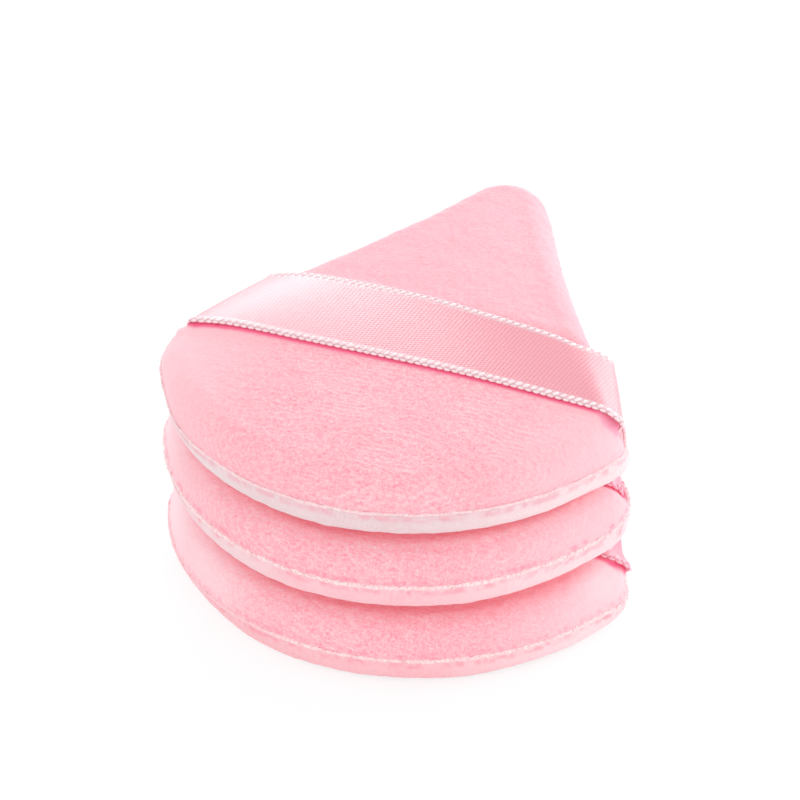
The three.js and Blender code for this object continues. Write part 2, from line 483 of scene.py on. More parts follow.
def linear(red, green, blue):
    """A colour given in sRGB from 0 to 255."""
    def channel(value):
        share = value / 255
        return share / 12.92 if share <= 0.04045 else ((share + 0.055) / 1.055) ** 2.4
    return (channel(red), channel(green), channel(blue), 1)


PILE_DARK = linear(255, 144, 166)
PILE_MIDDLE = linear(255, 187, 197)
PILE_PALE = linear(255, 214, 220)
# Painted shade for the pile under and along the strap and in the gathers above the seam
PILE_PAINTED_SHADE = linear(255, 118, 156)
# Painted sheen towards the sides of the pile
PILE_PAINTED_SHEEN = linear(255, 212, 219)
# Painted light on the pile, where it is covered and in spots
PILE_PAINTED_LIGHT = linear(255, 240, 244)
# Painted shade below the top strap's right front corner
PILE_FOLD_SHADE = linear(255, 172, 196)
PILE_SHEEN = linear(255, 236, 242)
PILE_SWIRL = 9 * MM
PILE_WANDER = 3 * MM
GRAIN_SIZE = 0.18 * MM
TIP_SIZE = 0.42 * MM
STRAND_SIZE = (0.9 * MM, 0.35 * MM, 0.4 * MM)
COMB_PITCH = 0.62 * MM
COMB_TURN = (math.radians(45), 0, math.radians(86))
COMB_WAVER = 2
COMBED_PATCH = 8 * MM
COMBED_SPAN = (0.38, 0.6)
LIVELY_MIDDLE = (3 * MM, -26 * MM)
LIVELY_REACH = 20 * MM
LIVELY_SPAN = (0.6, 1.5, 1, 0.45)
PILE_PAINTED_SHEEN_SPAN = (18 * MM, 36 * MM, 0, 0.8)
PILE_RELIEF = 0.3 * MM


def velour_material():
    """Short brushed pile: pale tips with darker gaps between them, and combed rows that bend about.
    It shows most in the middle of the front. Painted sheen pales the pile towards the sides, and
    painted light and painted shade are laid where the mesh marks them."""
    n = Nodes("velour")
    place = n.place()
    swirled = n.swirled(place, PILE_SWIRL, PILE_WANDER)
    grain = n.noise(place, GRAIN_SIZE, detail=1)
    tips = n.noise(place, TIP_SIZE, roughness=0.6)
    strands = n.noise(swirled, STRAND_SIZE)
    rows = n.waves(swirled, COMB_PITCH, COMB_WAVER, COMB_TURN, detail=2)
    patches = n.noise(place, COMBED_PATCH, detail=1)
    combed = n.math("MULTIPLY", n.math("SUBTRACT", rows, 0.5), n.span(patches, *COMBED_SPAN))
    depth = n.weighted((grain, 0.3, 0.7, 0.36), (tips, 0.32, 0.68, 0.34), (strands, 0.3, 0.7, 0.3),
                       (combed, 0, 1, 0.3))
    in_plan = n.scaled(place, (LIVELY_REACH, LIVELY_REACH, 1))
    middle = (LIVELY_MIDDLE[0] / LIVELY_REACH, LIVELY_MIDDLE[1] / LIVELY_REACH, 0)
    away = n.vector("DISTANCE", in_plan, middle, output="Value")
    lively = n.span(away, *LIVELY_SPAN)
    depth = n.math("MULTIPLY_ADD", n.math("SUBTRACT", depth, 0.5), lively, 0.5)
    ramp = n.add("ValToRGB", {"Fac": depth})
    stops = ramp.color_ramp.elements
    stops[0].position, stops[0].color = 0.1, PILE_DARK
    stops[1].position, stops[1].color = 0.9, PILE_PALE
    stops.new(0.5).color = PILE_MIDDLE
    # Painted sheen: the pile pales towards the left and right sides
    aside = n.math("ABSOLUTE", n.math("SUBTRACT", n.part(place, "X"), LIVELY_MIDDLE[0]))
    colour = n.mix(n.span(aside, *PILE_PAINTED_SHEEN_SPAN), ramp.outputs["Color"], PILE_PAINTED_SHEEN)
    colour = n.marked(n.marked(colour, PAINTED_LIGHT, PILE_PAINTED_LIGHT), FOLD_SHADE, PILE_FOLD_SHADE)
    n.set(Base_Color=n.marked(colour, PAINTED_SHADE, PILE_PAINTED_SHADE), Normal=n.bump(depth, PILE_RELIEF, 0.25),
          Roughness=0.95, Specular_IOR_Level=0.1, Sheen_Weight=0.45, Sheen_Roughness=0.3,
          Sheen_Tint=PILE_SHEEN)
    return n.owner


# Painted light towards the band's right end
BAND_PAINTED_LIGHT = linear(255, 228, 232)
# Greyer tint towards the band's left end
BAND_LEFT_GREY = linear(238, 224, 226)
# Painted sheen along the band's lower edge
BAND_EDGE_SHEEN = linear(255, 226, 230)
BAND_LINT = 0.45 * MM
BAND_RIB = (0.45 * MM, 0.45 * MM, 2.5 * MM)
BAND_PATCH = 5 * MM
BAND_PATCH_SPAN = (0.35, 0.65, 0, 0.6)
BAND_RELIEF = 0.25 * MM
BAND_PAINTED_LIGHT_SPAN = (14 * MM, 30 * MM, 0, 0.75)
LEFT_GREY_SPAN = (-4 * MM, -16 * MM)


def band_material(name, tints, left_grey):
    """Pale knitted cloth with faint upright ribs, painted shade in blotches below the seam and a
    painted sheen along its lower edge. It has painted light towards its right end, and is greyer
    towards its left one by the share given."""
    warm, pale, seam_shade_tint = tints
    n = Nodes(name)
    place = n.place()
    lint = n.noise(place, BAND_LINT, detail=3, roughness=0.65)
    ribs = n.noise(place, BAND_RIB)
    patches = n.noise(place, BAND_PATCH)
    shade = n.weighted((lint, 0.32, 0.68, 0.5), (ribs, 0.32, 0.68, 0.5))
    cloth = n.mix(shade, warm, pale)
    cloth = n.mix(n.span(patches, *BAND_PATCH_SPAN), cloth, pale)
    along = n.part(place, "X")
    # Painted light towards the band's right end
    cloth = n.mix(n.span(along, *BAND_PAINTED_LIGHT_SPAN), cloth, BAND_PAINTED_LIGHT)
    # Greyer towards the band's left end, by the share given
    cloth = n.mix(n.span(along, *LEFT_GREY_SPAN, 0, left_grey), cloth, BAND_LEFT_GREY)
    cloth = n.marked(n.marked(cloth, PAINTED_SHADE, seam_shade_tint), LOWER_EDGE_SHEEN, BAND_EDGE_SHEEN)
    n.set(Base_Color=cloth, Normal=n.bump(shade, BAND_RELIEF, 0.5), Roughness=0.9,
          Specular_IOR_Level=0.15, Sheen_Weight=0.25)
    return n.owner


THREAD_BURIED = linear(255, 204, 212)
THREAD_LINT = 0.35 * MM
THREAD_RELIEF = 0.15 * MM
BURIED_SPAN = (-4 * MM, -12 * MM)


def thread_material(name, tints, buried):
    """Fuzzy white thread with a pink cast in its hollows, and pink at its left end where the pile
    buries it, by the share given."""
    n = Nodes(name)
    place = n.place()
    lint = n.noise(place, THREAD_LINT, detail=3, roughness=0.6)
    colour = n.mix(n.span(lint, 0.35, 0.6), *tints)
    colour = n.mix(n.span(n.part(place, "X"), *BURIED_SPAN, 0, buried), colour, THREAD_BURIED)
    n.set(Base_Color=colour, Normal=n.bump(lint, THREAD_RELIEF, 0.5), Roughness=0.8,
          Specular_IOR_Level=0.2, Sheen_Weight=0.4)
    return n.owner


SATIN_DARK = linear(218, 104, 124)
SATIN_MIDDLE = linear(230, 134, 150)
SATIN_PALE = linear(240, 162, 174)
SATIN_BORDER = linear(226, 172, 180)
SATIN_SHADE = linear(248, 110, 146)
SATIN_SHEEN = linear(255, 236, 240)
SATIN_ROW_PITCH = 0.57 * MM
SATIN_SLANT_PITCH = 0.49 * MM
SATIN_SLANT = math.radians(64.7)
SATIN_WAVER = 0.3
SATIN_THREAD = (2.5 * MM, 0.16 * MM, MM)
SATIN_CLOUD = 7 * MM
SATIN_CLOUD_SPAN = (0.3, 0.7, 0, 0.3)
SATIN_RELIEF = 0.025 * MM
STRAP_WIDTH = 16 * MM
EDGE_WIDTH = 1.15 * MM
BORDER_WIDTH = 1.3 * EDGE_WIDTH


def satin_material():
    """Satin ribbon: short floats laid like bricks between the tie-down points, and a soft gloss."""
    n = Nodes("satin_ribbon")
    place = n.place("UV")
    rows = n.waves(place, SATIN_ROW_PITCH, SATIN_WAVER)
    left, right = (
        n.waves(place, SATIN_SLANT_PITCH, SATIN_WAVER, (0, 0, slant))
        for slant in (SATIN_SLANT, -SATIN_SLANT)
    )
    threads = n.noise(place, SATIN_THREAD)
    cloudy = n.noise(place, SATIN_CLOUD)
    weave = n.weighted((rows, 0, 1, 0.45), (left, 0, 1, 0.2), (right, 0, 1, 0.2),
                       (threads, 0.3, 0.7, 0.15))
    bricks = n.weighted((rows, 0, 1, 0.34), (left, 0, 1, 0.33), (right, 0, 1, 0.33))
    colour = n.mix(weave, SATIN_DARK, SATIN_PALE)
    colour = n.mix(n.span(cloudy, *SATIN_CLOUD_SPAN), colour, SATIN_MIDDLE)
    aside = n.math("ABSOLUTE", n.math("SUBTRACT", n.part(place, "Y"), STRAP_WIDTH / 2))
    border = n.span(aside, STRAP_WIDTH / 2 - BORDER_WIDTH, STRAP_WIDTH / 2 - EDGE_WIDTH)
    colour = n.marked(n.mix(border, colour, SATIN_BORDER), PAINTED_SHADE, SATIN_SHADE)
    tangent = n.add("Tangent", direction_type="UV_MAP", uv_map="ribbon")
    n.set(Base_Color=colour, Normal=n.bump(bricks, SATIN_RELIEF),
          Tangent=tangent.outputs["Tangent"], Roughness=0.3, IOR=1.7, Specular_IOR_Level=1,
          Anisotropic=0.4, Anisotropic_Rotation=0.25, Sheen_Weight=0.1, Sheen_Roughness=0.3,
          Sheen_Tint=SATIN_SHEEN)
    return n.owner


PICOT_DARK = linear(250, 218, 224)
PICOT_PALE = linear(255, 242, 243)
PICOT_SHADE = linear(240, 176, 194)
PICOT_LINT = 0.3 * MM
PICOT_RELIEF = 0.08 * MM


def picot_material():
    """Glossy white thread of the ribbon's looped edges."""
    n = Nodes("ribbon_edge")
    lint = n.noise(n.place(), PICOT_LINT)
    colour = n.mix(n.span(lint, 0.35, 0.65), PICOT_DARK, PICOT_PALE)
    n.set(Base_Color=n.marked(colour, PAINTED_SHADE, PICOT_SHADE), Normal=n.bump(lint, PICOT_RELIEF, 0.4),
          Roughness=0.45, Specular_IOR_Level=0.5, Sheen_Weight=0.3)
    return n.owner


FOAM_WALL = linear(252, 243, 234)
FOAM_PAINTED_SHADE = linear(240, 222, 208)
FOAM_CELL = 0.9 * MM
FOAM_RELIEF = 0.3 * MM


def foam_material():
    """Cream foam with small open cells, with painted shade inside them."""
    n = Nodes("foam")
    sockets = {"Vector": n.scaled(n.place(), FOAM_CELL), "Scale": 1}
    cells = n.add("TexVoronoi", sockets, feature="DISTANCE_TO_EDGE")
    inside = n.span(cells.outputs["Distance"], 0.02, 0.2)
    n.set(Base_Color=n.mix(inside, FOAM_WALL, FOAM_PAINTED_SHADE),
          Normal=n.bump(n.math("SUBTRACT", 1, inside), FOAM_RELIEF, 0.6),
          Roughness=1, Specular_IOR_Level=0.1)
    return n.owner


# Finger strap: its edges from the left tail to the right, in millimetres about the seam's middle

STRAP_FRONT = [
    (-33, -9.6, 0.85), (-31.9, -10.2, 1.9), (-31.6, -10.9, 3), (-31.5, -11.8, 4.2),
    (-31.1, -12.6, 5.2), (-29.9, -13.1, 6), (-23.8, -13.2, 6.9), (-12, -13.2, 6.95),
    (0, -13.2, 6.95), (12, -13.2, 6.85), (25.2, -13.4, 6.3), (31.4, -13.5, 5.9),
    (33.5, -13.5, 5), (34.2, -12.9, 3.9), (33.8, -11.3, 2.4), (33.1, -9.8, 0.85),
]
STRAP_BACK = [
    (-25.4, 3.2, 0.85), (-25.3, 3.1, 1.9), (-25.2, 3, 3), (-25, 2.9, 4),
    (-24.5, 2.8, 4.9), (-23.4, 2.8, 5.5), (-18, 2.9, 6.6), (-9.3, 2.8, 7),
    (0, 2.7, 6.95), (9.3, 2.1, 6.5), (18, 1.8, 5.65), (22.4, 1.3, 5),
    (24.9, 1.9, 4.2), (26.9, 2.2, 3.2), (27.5, 2.6, 2), (25.6, 2.7, 0.85),
]
STRAP_END_SHARES = (0.3, 0.8, 1, 0.8, 0.4)
STRAP_END_SHIFTS = by_puff(
    ((0.9, 0.5, 0.2), (0, 0, 0)),
    ((-0.7, 1.3, 0), (-0.7, 1.3, 0)),
    ((0, 0, 0), (0, 0, 0)),
)
STRAP_TUCKS = by_puff((((33, -6.5, 5), (4, 3.6, 2.2), (-2, 0, 0)),), (), ())
END_SHADE = by_puff(0.7, 1, 0)
END_SHADE_START = 27 * MM
END_SHADE_REACH = 4 * MM
STRAP_THICKNESS = 0.36 * MM
STRAP_ARCH = 0.12 * MM
FLAT_STRAP_LEVEL = 6.3 * MM
TAIL_HEIGHT = 3 * MM
EDGE_PITCH = 1.1 * MM
KNOT_WIDTH = 0.68 * MM
KNOT_HEIGHT = 0.45 * MM
KNOT_SLANT = 0.6
KNOT_SIZES = (0.88, 1.1)
KNOT_SHIFT = 0.05 * MM
LOOP_REACH = 0.52 * EDGE_WIDTH
LOOP_LENGTH = 0.9 * EDGE_PITCH
GRAIN_STEPS = 6
GRAIN_SIDES = 6
GRAIN_BLUNTNESS = 0.02


def smooth_line(points, steps):
    """A Catmull-Rom line through the points, with even steps between each two."""
    ends = np.vstack([2 * points[0] - points[1], points, 2 * points[-1] - points[-2]])
    line = []
    for a, b, c, d in zip(ends, ends[1:], ends[2:], ends[3:]):
        t = np.arange(steps)[:, None] / steps
        line.append(0.5 * (2 * b + (c - a) * t + (2 * a - 5 * b + 4 * c - d) * t ** 2
                           + (3 * b - a - 3 * c + d) * t ** 3))
    return np.vstack(line + [points[-1:]])


def strap_edges(puff):
    """The strap's two edge lines. The lower puffs' straps are pressed flat by the puff above."""
    front = np.array(STRAP_FRONT) * MM
    back = np.array(STRAP_BACK) * MM
    for line, shift in zip((front, back), STRAP_END_SHIFTS[puff]):
        line[-len(STRAP_END_SHARES):] += np.outer(STRAP_END_SHARES, shift) * MM
    if puff != "top_puff":
        for line in (front, back):
            line[:, 2] = np.minimum(line[:, 2], FLAT_STRAP_LEVEL)
    return smooth_line(front, STRAP_SPAN_STEPS), smooth_line(back, STRAP_SPAN_STEPS)


def run_length(line):
    """The distance of each point along a line, from its middle point."""
    along = distances(line)
    return along - along[len(along) // 2]


def strap_grid(puff):
    """The strap's middle surface: points and outward normals by station and across."""
    front, back = strap_edges(puff)
    across = np.linspace(0, 1, STRAP_ACROSS_STEPS + 1)[None, :, None]
    points = front[:, None] * (1 - across) + back[:, None] * across
    normals = np.cross(*np.gradient(points, axis=(0, 1)))
    normals /= np.linalg.norm(normals, axis=2, keepdims=True)
    arch = STRAP_ARCH * (1 - (2 * across - 1) ** 2)
    points = (points + normals * arch).reshape(-1, 3)
    points = tails_with_seam(pushed(points, STRAP_TUCKS[puff]), puff)
    return points.reshape(normals.shape), normals


def tails_with_seam(points, puff):
    """Moves the strap's tails as the seam that holds them is moved."""
    held = np.clip(1 - points[:, 2] / TAIL_HEIGHT, 0, 1)[:, None]
    return points + (give(points, puff) - points) * held


def mark_end_shade(mesh, puff):
    """The lower straps' right ends are a deeper pink, where the puff above shades them."""
    share = (mesh_points(mesh)[:, 0] - END_SHADE_START) / END_SHADE_REACH
    mark(mesh, PAINTED_SHADE, END_SHADE[puff] * np.clip(share, 0, 1))


def make_strap(puff, satin, picot):
    points, normals = strap_grid(puff)
    front, back = strap_edges(puff)
    stations, columns = points.shape[:2]
    shape = Shape()
    half = STRAP_THICKNESS / 2
    over = shape.add((points + normals * half).reshape(-1, 3)).reshape(stations, columns)
    under = shape.add((points - normals * half).reshape(-1, 3)).reshape(stations, columns)

    shape.skin(grid_quads(over))
    shape.skin(grid_quads(under)[:, ::-1])
    for a, b, turn in ((over[:, 0], under[:, 0], -1), (over[:, -1], under[:, -1], 1),
                       (over[0], under[0], 1), (over[-1], under[-1], -1)):
        shape.skin(np.stack([a[:-1], a[1:], b[1:], b[:-1]], 1)[:, ::turn])
    mesh = shape.mesh(f"{puff}_satin_strap")
    along = np.linspace(run_length(front), run_length(back), columns, axis=1)
    across = np.broadcast_to(np.linspace(0, STRAP_WIDTH, columns), along.shape)
    spots = np.tile(np.stack([along, across], -1).reshape(-1, 2), (2, 1))
    corners = np.zeros(len(mesh.loops), np.int32)
    mesh.loops.foreach_get("vertex_index", corners)
    layer = mesh.uv_layers.new(name="ribbon")
    layer.data.foreach_set("uv", spots[corners].astype(np.float32).ravel())
    mark_end_shade(mesh, puff)
    strap = place_piece(mesh, puff, "finger_strap", satin)
    edges = make_strap_edges(puff, points, normals, picot)
    return points


def add_closed(shape, rings):
    """Lofts rings and fills both ends with a fan of their own points."""
    first = shape.add(rings[0])
    last = shape.loft(rings[1:], first)
    shape.skin([(first[0], first[k + 1], first[k]) for k in range(1, len(first) - 1)])
    shape.skin([(last[0], last[k], last[k + 1]) for k in range(1, len(last) - 1)])


def add_grain(shape, centre, axis, aside, up, length, width, height):
    """Adds the form of a rice grain that lies along axis."""
    rings = []
    for share in np.linspace(-1, 1, GRAIN_STEPS + 1):
        girth = math.sqrt(max(1 - share ** 2, GRAIN_BLUNTNESS))
        rings.append(ring_round(centre + axis * share * length / 2, aside * width / 2 * girth,
                                up * height / 2 * girth, GRAIN_SIDES))
    add_closed(shape, rings)


def make_strap_edges(puff, points, normals, picot):
    """Slanted thread knots along both selvedges, with a small loop beyond each gap."""
    shape = Shape()
    columns = points.shape[1] - 1
    inset = EDGE_WIDTH / 2 / STRAP_WIDTH * columns
    for place, inward in ((inset, 1), (columns - inset, -1)):
        low = int(place)
        share = place - low
        line = points[:, low] * (1 - share) + points[:, low + 1] * share
        asides = (points[:, low + 1] - points[:, low]) * inward
        forwards = np.gradient(line, axis=0)
        along = run_length(line)
        for spot in np.arange(along[0] + EDGE_PITCH, along[-1] - EDGE_PITCH, EDGE_PITCH):
            centre, up, aside, forward = (
                read_along(spot, along, values)
                for values in (line, normals[:, low], asides, forwards)
            )
            forward = unit(forward)
            up = unit(up - forward * (up @ forward))
            aside = np.cross(up, forward) * np.sign(np.cross(up, forward) @ aside)
            lean = unit(aside + KNOT_SLANT * forward * inward)
            size = RANDOM.uniform(*KNOT_SIZES)
            centre = centre + RANDOM.uniform(-KNOT_SHIFT, KNOT_SHIFT) * forward
            loop = centre + forward * EDGE_PITCH / 2 - aside * LOOP_REACH
            for face in (1, -1):
                lift = up * face * STRAP_THICKNESS / 2
                add_grain(shape, centre + lift, lean, np.cross(up * face, lean), up * face,
                          EDGE_WIDTH * size, KNOT_WIDTH * size, KNOT_HEIGHT)
            add_grain(shape, loop, forward, aside, up, LOOP_LENGTH, KNOT_WIDTH / 2, KNOT_HEIGHT)
    mesh = shape.mesh(f"{puff}_strap_edges")
    mark_end_shade(mesh, puff)
    return place_piece(mesh, puff, None, picot)


# The give of a puff: each dent's middle, reach and push, in millimetres about the seam's middle

DENTS = by_puff(
    bottom=(
        ((34.8, -10, 1), (4, 2.6, 2.5), (-0.9, 0, 0)),
        ((35.2, -14.5, -1), (4, 3.2, 2.5), (0.6, -0.4, 0)),
        ((-23, -32, -2), (10, 6, 4), (0.2, 0.4, 0)),
        ((-25, -29, 0), (12, 10, 2.5), (0, 0, -1.2)),
    ),
    middle=(
        ((34.8, -10, 1.5), (4, 5, 2.4), (-0.2, 0, 0)),
        ((34, -16, -2.5), (4, 5, 3), (0.5, -0.2, 0)),
        ((-34.5, -12, 1.5), (4, 9, 5), (0.45, 0, 0)),
    ),
    top=(
        ((34.8, -10, 2.8), (4, 5, 2.2), (-1, 0, 0)),
        ((34.8, -10, 0), (4, 4.5, 2.5), (-0.4, 0, -1.8)),
        ((34.6, -11, -3.4), (4, 5, 1.5), (0.9, 0, 0)),
        ((34, -16, -3), (4, 5, 2.5), (0.5, -0.2, 0)),
        ((33.8, -14, 4), (2.6, 2.4, 2.2), (-0.3, 0.4, -1.1)),
        ((-32.6, -14.2, 5), (3.4, 3.6, 2.6), (0.6, 0.1, -0.9)),
        ((-32, -13.7, 4.6), (1.5, 1.5, 1.2), (-0.5, -0.2, 0.6)),
        ((-33.8, -14, 3.2), (2.2, 2.6, 1.3), (0.7, 0, -0.3)),
        ((-34, -8, 2.5), (4, 4, 1.8), (0.8, 0, 0)),
        ((-35, -14, -0.5), (4, 5, 3), (0.5, 0, 0)),
        ((-31.5, -23.5, -0.5), (5, 7, 3), (0.6, 0.2, 0)),
    ),
)
RIM_BOW = by_puff(0, 1 * MM, 0)
BOW_HALF_WIDTH = 35 * MM
SQUEEZE_REACH = 1.8 * MM
STRAP_REST_GAP = 0.12 * MM
CORE_REST_GAP = 0.7 * MM
CLING = 0.55 * MM
STRAP_SHADE_START = 0.35 * MM
STRAP_SHADE_DEPTH = 1.2 * MM
STRAP_SHADE_REACH = 0.35 * MM
# Painted shade below the top strap's right front corner, and how far it holds back the painted shade
# along the strap there
FOLD_WIDTH = by_puff(0, 0, 1.5 * MM)
FOLD_START = 31 * MM
FOLD_LENGTH = 1.5 * MM
FOLD_LEVEL = 3 * MM
FOLD_PALING = 0.75


def bump_share(points, middle, reach):
    """1 at the middle, fading to 0 beyond the reach, both given in millimetres."""
    away = (points - np.array(middle) * MM) / (np.array(reach) * MM)
    return np.exp(-(away ** 2).sum(1))


def pushed(points, dents):
    """Points moved by dents."""
    moved = points.copy()
    for middle, reach, push in dents:
        moved += bump_share(points, middle, reach)[:, None] * np.array(push) * MM
    return moved


def give(points, puff):
    """Points moved by their puff's dents and bow."""
    moved = pushed(points, DENTS[puff])
    moved[:, 2] += RIM_BOW[puff] * (points[:, 0] / BOW_HALF_WIDTH) ** 2
    return moved


def press_under_strap(points, strap_points, gap, cling):
    """Moves points that lie less than the gap below the strap down to it, and draws those just
    below up by as much as they cling. Also gives each point's nearness to the strap, as a share,
    which is painted as shade under and along the strap."""
    stations, columns = strap_points.shape[:2]
    quads = grid_quads(np.arange(stations * columns).reshape(stations, columns))
    tree = BVHTree.FromPolygons(
        [Vector(p) for p in strap_points.reshape(-1, 3)], [tuple(q) for q in quads.tolist()]
    )
    pressed = points.copy()
    strap_shade = np.zeros(len(points))
    wanted = gap + STRAP_THICKNESS / 2
    for k, point in enumerate(points):
        spot, normal, _, _ = tree.find_nearest(Vector(point), 2 * SQUEEZE_REACH)
        if spot is None:
            continue
        away = Vector(point) - spot
        rise = away.dot(normal)
        aside = (away - normal * rise).length
        fade = math.exp(-2 * (aside / SQUEEZE_REACH) ** 2)
        pressed[k] -= np.array(normal) * max(rise + wanted, -cling) * fade
        beyond = max(aside - STRAP_SHADE_START, 0) + max(-rise - STRAP_SHADE_DEPTH, 0)
        strap_shade[k] = math.exp(-(beyond / STRAP_SHADE_REACH) ** 2)
    return pressed, strap_shade


def fold_shade_share(points, puff):
    """1 for points below the strap's right front corner, where the velour folds under it, which take
    a painted shade.
    """
    front, _ = strap_edges(puff)
    corner = front[(front[:, 0] > FOLD_START) & (front[:, 2] > FOLD_LEVEL)]
    near = np.flatnonzero(points[:, 0] > FOLD_START - FOLD_LENGTH)
    gaps = np.linalg.norm(points[near, None] - corner[None], axis=2)
    reach = (corner[gaps.argmin(1), 0] - FOLD_START) / FOLD_LENGTH
    width = FOLD_WIDTH[puff] * np.clip(reach, 0, 1)
    share = np.zeros(len(points))
    share[near] = np.exp(-(np.maximum(gaps.min(1) - width, 0) / STRAP_SHADE_REACH) ** 2)
    return share


# The pieces of one puff

VELOUR_LUMPS = ((10, 0.12), (3.2, 0.07), (1.1, 0.06), (0.55, 0.045))
PILE_SETTLE = 0.12 * MM
NAP_SIZE = (4.5 * MM, 0.8 * MM, 0.8 * MM)
NAP_HEIGHT = 0.05 * MM
NAP_SWIRL = 0.8 * MM
NAP_SWIRL_SIZE = 6 * MM
BACK_PILE = 0.5
PUCKER_LEVEL = 0.75 * MM
PUCKER_HEIGHT = 0.3 * MM
PUCKER_SIZE = (0.38 * MM, 0.38 * MM, 3 * MM)
PUCKER_CONTRAST = 1.8
PUCKER_SHARE = 0.3
PUCKER_DEPTH = 0.15 * MM
PUCKER_AMOUNT = by_puff(0.35, 0.5, 0.12)
COVERED_PAINTED_LIGHT = by_puff(0.22, 0.22, 0)
COVERED_START = 0.86
COVERED_RISE = 0.12
# Spots of painted light on the pile: middle, reach and share
PAINTED_LIGHT_SPOTS = by_puff(
    bottom=(
        ((30.5, -14, 4.6), (4.5, 6, 4), 0.6),
        ((32, -16, 1), (6, 9, 4), 0.15),
        ((-31, -20, 3), (7, 14, 6), 0.5),
        ((-20, -30, 2.5), (10, 10, 5), 0.4),
    ),
    middle=(
        ((-32, -16, 3), (7, 12, 6), 0.35),
    ),
    top=(),
)
SEAM_OVERLAP = 0.1 * MM
SEAM_HOLD = 0.7 * MM
BAND_THICKNESS = 1 * MM
CORE_DEPTH = 1.8 * MM
BAND_RIPPLE = ((9, 0.12), (2, 0.07), (0.8, 0.04))
# Painted shade in a strip below the band's seam, broken into blotches by noise
SEAM_SHADE_SIZES = (1.3, 0.6)
SEAM_SHADE_AMOUNT = by_puff(0.3, 0.3, 0.6)
SEAM_SHADE_CONTRAST = 0.8
SEAM_SHADE_DARKNESS = 0.8
SEAM_SHADE_LEVEL = 0.8 * MM
SEAM_SHADE_HEIGHT = 0.6 * MM
EDGE_SHEEN_HEIGHT = 0.45 * MM


def lumps(points, table, seed):
    return sum(noise(points, size * MM, seed + k) * height * MM
               for k, (size, height) in enumerate(table))


def pile_rise(points, seed):
    """The height of the velour's soft lumps and brushed tufts."""
    swirl = noise(points, NAP_SWIRL_SIZE, seed + 7)[:, None] * NAP_SWIRL
    nap = noise(points + swirl, NAP_SIZE, seed + 8) * NAP_HEIGHT
    return lumps(points, VELOUR_LUMPS, seed) + nap - PILE_SETTLE


def settled(points):
    """How free a cover's surface is to rise and fall: not at all where the seam holds it."""
    return np.clip(abs(points[:, 2]) / SEAM_HOLD, 0, 1)


def velour_shell(name, puff, grid, side, crown, edge_lift, seed, amount):
    """A cover from its crowned face to its edge, with an inner skin. The outside points are first."""
    rim = 8 * grid
    shape = Shape()
    shoulder = shape.patch(*face_patch(grid, 0, side, crown))
    lifts = np.linspace(math.pi / 2, edge_lift, RIM_STEPS + 1)[1:]
    edge = shape.loft([rim_ring(rim, 0, side * lift) for lift in lifts], shoulder)
    outside = shape.count
    tucked = shape.loft(
        [rim_ring(rim, depth, side * edge_lift) for depth in (COVER_THICKNESS / 3, COVER_THICKNESS)],
        edge,
    )
    inside = shape.patch(*face_patch(INSIDE_GRID, COVER_THICKNESS, side))
    shape.skin(thin_out(tucked, inside))
    mesh = shape.mesh(f"{puff}_{name}")
    points = mesh_points(mesh)
    rise = pile_rise(points + puff_centre(puff), seed) * amount * settled(points)
    rise[outside:] = 0
    return mesh, points + mesh_normals(mesh) * rise[:, None]


def pucker(mesh, points, puff, seed):
    """Needle marks and gathers in the velour just above the rim seam, more on the lower puffs."""
    place = points + puff_centre(puff)
    level = (points[:, 2] - PUCKER_LEVEL) / PUCKER_HEIGHT
    marks = np.clip(noise(place, PUCKER_SIZE, seed + 9) * PUCKER_CONTRAST + PUCKER_SHARE, 0, 1)
    rim = abs(points[:, 2]) < RIM_HEIGHT / 2
    depth = np.exp(-level ** 2) * marks * rim * PUCKER_AMOUNT[puff]
    normal = mesh_normals(mesh)
    points -= normal * depth[:, None] * PUCKER_DEPTH
    return depth


def painted_light_share(points, puff):
    """How much paler each point's pile is, as painted light: a little where it is covered, and more
    in spots.
    """
    covered = np.clip((points[:, 2] / RIM_HEIGHT - COVERED_START) / COVERED_RISE, 0, 1)
    share = COVERED_PAINTED_LIGHT[puff] * covered
    for middle, reach, fade in PAINTED_LIGHT_SPOTS[puff]:
        share = np.maximum(share, fade * bump_share(points, middle, reach))
    return share


def make_face(puff, velour, strap_points, seed):
    lift = math.asin(SEAM_OVERLAP / RIM_HEIGHT)
    mesh, points = velour_shell("velour_face", puff, FACE_GRID, 1, FACE_CROWN[puff], lift, seed, 1)
    gathers = pucker(mesh, points, puff, seed)
    rest = give(points, puff)
    pressed, strap_shade = press_under_strap(rest, strap_points, STRAP_REST_GAP, CLING)
    pressed = rest + (pressed - rest) * settled(points)[:, None]
    # Painted shade below the strap's right front corner
    fold_shade = fold_shade_share(pressed, puff)
    mark(mesh, FOLD_SHADE, fold_shade)
    # Painted shade under and along the strap and in the gathers above the seam, held back below the
    # strap's right front corner, where a paler painted shade is laid
    mark(mesh, PAINTED_SHADE, np.maximum(gathers, strap_shade * (1 - FOLD_PALING * fold_shade)))
    # Painted light where the face is covered and in spots
    mark(mesh, PAINTED_LIGHT, painted_light_share(points, puff))
    move_points(mesh, pressed)
    face = place_piece(mesh, puff, "face_cover", velour)


def make_back(puff, velour, seed):
    lift = BAND_SWEEP + BACK_EDGE_GAP / RIM_REACH
    mesh, points = velour_shell(
        "velour_back", puff, BACK_GRID, -1, CROWN_RISE, lift, seed, BACK_PILE,
    )
    points = give(points, puff)
    floor = -puff_centre(puff)[2]
    points[:, 2] = np.maximum(points[:, 2], floor)
    move_points(mesh, points)
    back = place_piece(mesh, puff, "back_cover", velour)


